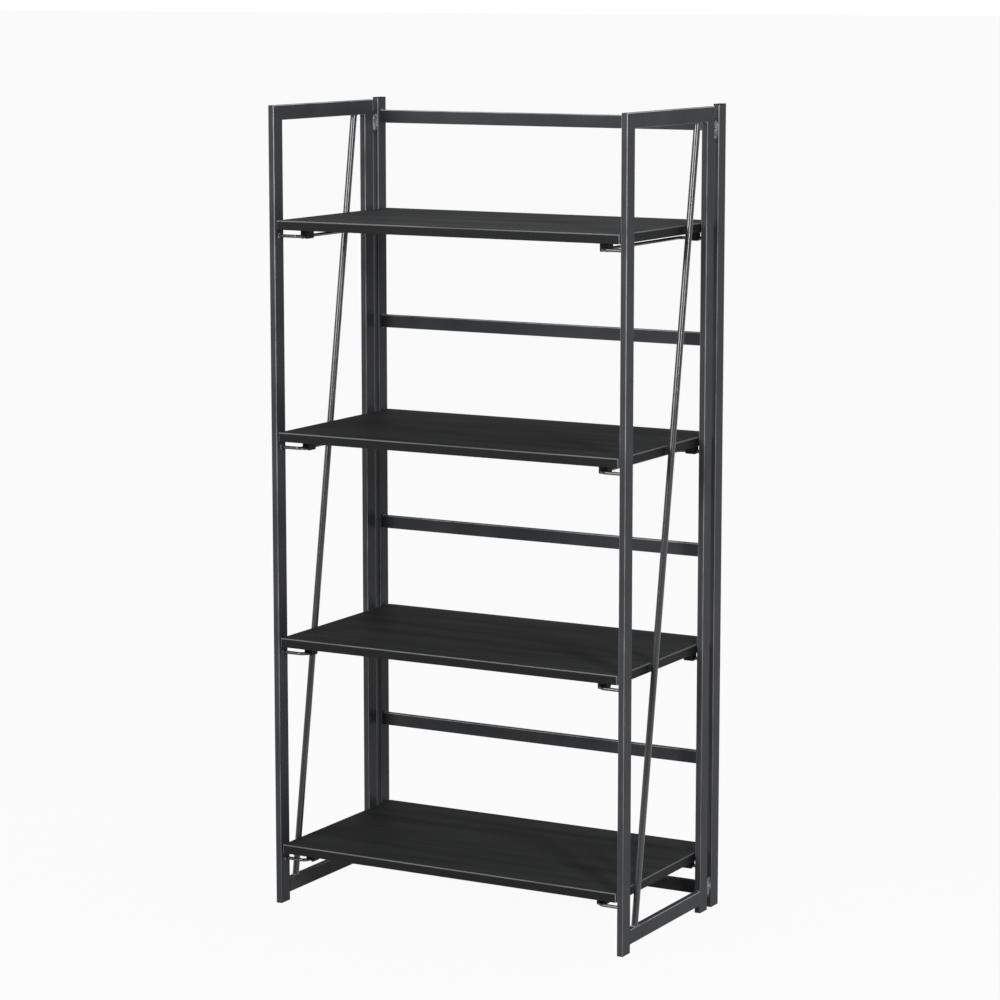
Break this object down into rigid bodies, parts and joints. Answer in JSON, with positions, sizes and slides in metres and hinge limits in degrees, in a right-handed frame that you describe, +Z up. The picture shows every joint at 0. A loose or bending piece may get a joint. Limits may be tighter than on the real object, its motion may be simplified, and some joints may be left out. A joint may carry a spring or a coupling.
{
  "type": "folding bookcase",
  "caption": "Open folding bookcase: tube side frames with slanting brace rods hinge on a railed back frame, with lift-out shelves held by clips on bent wires.",
  "frame": {"origin": "on the floor under the middle of the unfolded bookcase", "axes": "+Z up, -Y out of the open front, +X to the right seen from the front"},
  "size_m": [0.6, 0.326, 1.228],
  "materials": {
    "frame_paint": "satin black powder coat",
    "shelf_laminate": "matt black wood-grain laminate",
    "edge_plastic": "matt",
    "clip_plastic": "matt",
    "plug_plastic": "matt",
    "pin_steel": "black"
  },
  "bodies": {
    "back_frame": {"left_hinge_barrels": "frame_paint", "back_left_post": "frame_paint", "back_left_foot": "plug_plastic", "right_hinge_barrels": "frame_paint", "back_right_post": "frame_paint", "back_right_foot": "plug_plastic", "back_post_caps": "plug_plastic", "back_rail_1": "frame_paint", "back_rail_2": "frame_paint", "back_rail_3": "frame_paint", "back_rail_4": "frame_paint", "back_rail_5": "frame_paint"},
    "left_side": {"left_front_post": "frame_paint", "left_rear_post": "frame_paint", "left_top_rail": "frame_paint", "left_bottom_rail": "frame_paint", "left_brace_rod": "frame_paint", "left_hinge_ears": "frame_paint", "left_shelf_wire_1": "frame_paint", "left_shelf_wire_2": "frame_paint", "left_shelf_wire_3": "frame_paint", "left_shelf_wire_4": "frame_paint", "left_hinge_pins": "pin_steel", "left_front_foot": "plug_plastic", "left_rear_foot": "plug_plastic"},
    "right_side": {"right_front_post": "frame_paint", "right_rear_post": "frame_paint", "right_top_rail": "frame_paint", "right_bottom_rail": "frame_paint", "right_brace_rod": "frame_paint", "right_hinge_ears": "frame_paint", "right_shelf_wire_1": "frame_paint", "right_shelf_wire_2": "frame_paint", "right_shelf_wire_3": "frame_paint", "right_shelf_wire_4": "frame_paint", "right_hinge_pins": "pin_steel", "right_front_foot": "plug_plastic", "right_rear_foot": "plug_plastic"},
    "shelf_1": {"shelf_1_board": "shelf_laminate", "shelf_1_edge_band": "edge_plastic", "shelf_1_clips": "clip_plastic", "shelf_1_screws": "pin_steel"},
    "shelf_2": {"shelf_2_board": "shelf_laminate", "shelf_2_edge_band": "edge_plastic", "shelf_2_clips": "clip_plastic", "shelf_2_screws": "pin_steel"},
    "shelf_3": {"shelf_3_board": "shelf_laminate", "shelf_3_edge_band": "edge_plastic", "shelf_3_clips": "clip_plastic", "shelf_3_screws": "pin_steel"},
    "shelf_4": {"shelf_4_board": "shelf_laminate", "shelf_4_edge_band": "edge_plastic", "shelf_4_clips": "clip_plastic", "shelf_4_screws": "pin_steel"}
  },
  "joints": [
    {"name": "shelf_1_lift_out", "type": "slide", "parent": "back_frame", "child": "shelf_1", "axis": [0, -0.9659, 0.2588], "range_m": [0, 3.8]},
    {"name": "shelf_2_lift_out", "type": "slide", "parent": "back_frame", "child": "shelf_2", "axis": [0, -0.9659, 0.2588], "range_m": [0, 3.8]},
    {"name": "shelf_3_lift_out", "type": "slide", "parent": "back_frame", "child": "shelf_3", "axis": [0, -0.9659, 0.2588], "range_m": [0, 3.8]},
    {"name": "shelf_4_lift_out", "type": "slide", "parent": "back_frame", "child": "shelf_4", "axis": [0, -0.9659, 0.2588], "range_m": [0, 3.8]},
    {"name": "left_fold", "type": "hinge", "parent": "back_frame", "child": "left_side", "pos_m": [-0.295, 0.131, 0], "axis": [0, 0, 1], "range_deg": [0, 90]},
    {"name": "right_fold", "type": "hinge", "parent": "back_frame", "child": "right_side", "pos_m": [0.295, 0.131, 0], "axis": [0, 0, -1], "range_deg": [0, 90]}
  ],
  "couplings": [
    {"joint": "shelf_2_lift_out", "follows": "shelf_1_lift_out", "ratio": 1},
    {"joint": "shelf_3_lift_out", "follows": "shelf_1_lift_out", "ratio": 1},
    {"joint": "shelf_4_lift_out", "follows": "shelf_1_lift_out", "ratio": 1},
    {"joint": "left_fold", "follows": "shelf_1_lift_out", "rad_per_m": 0.41337},
    {"joint": "right_fold", "follows": "shelf_1_lift_out", "rad_per_m": 0.41337}
  ]
}
